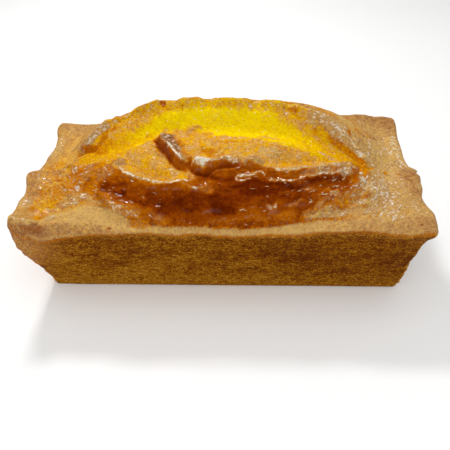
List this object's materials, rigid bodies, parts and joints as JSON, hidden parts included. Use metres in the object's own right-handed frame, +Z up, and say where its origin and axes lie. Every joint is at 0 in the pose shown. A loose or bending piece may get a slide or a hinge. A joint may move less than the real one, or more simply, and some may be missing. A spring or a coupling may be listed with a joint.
{
  "type": "pound cake loaf",
  "caption": "Whole baked pound cake loaf with tapered sides, a flared rim, a tall cracked dome and a browned, folded crust.",
  "frame": {"origin": "centre of the flat base, on the surface the loaf stands on", "axes": "+Z up, +X along the loaf, -Y towards the long side in front, where the crust rolled forward out of the crack"},
  "size_m": [0.2598, 0.1136, 0.1094],
  "materials": {
    "baked_cake": "baked crust: browned and slightly glossy on the dome, matte and fine pored on the sides"
  },
  "bodies": {
    "root": {"loaf": "baked_cake"}
  },
  "joints": []
}
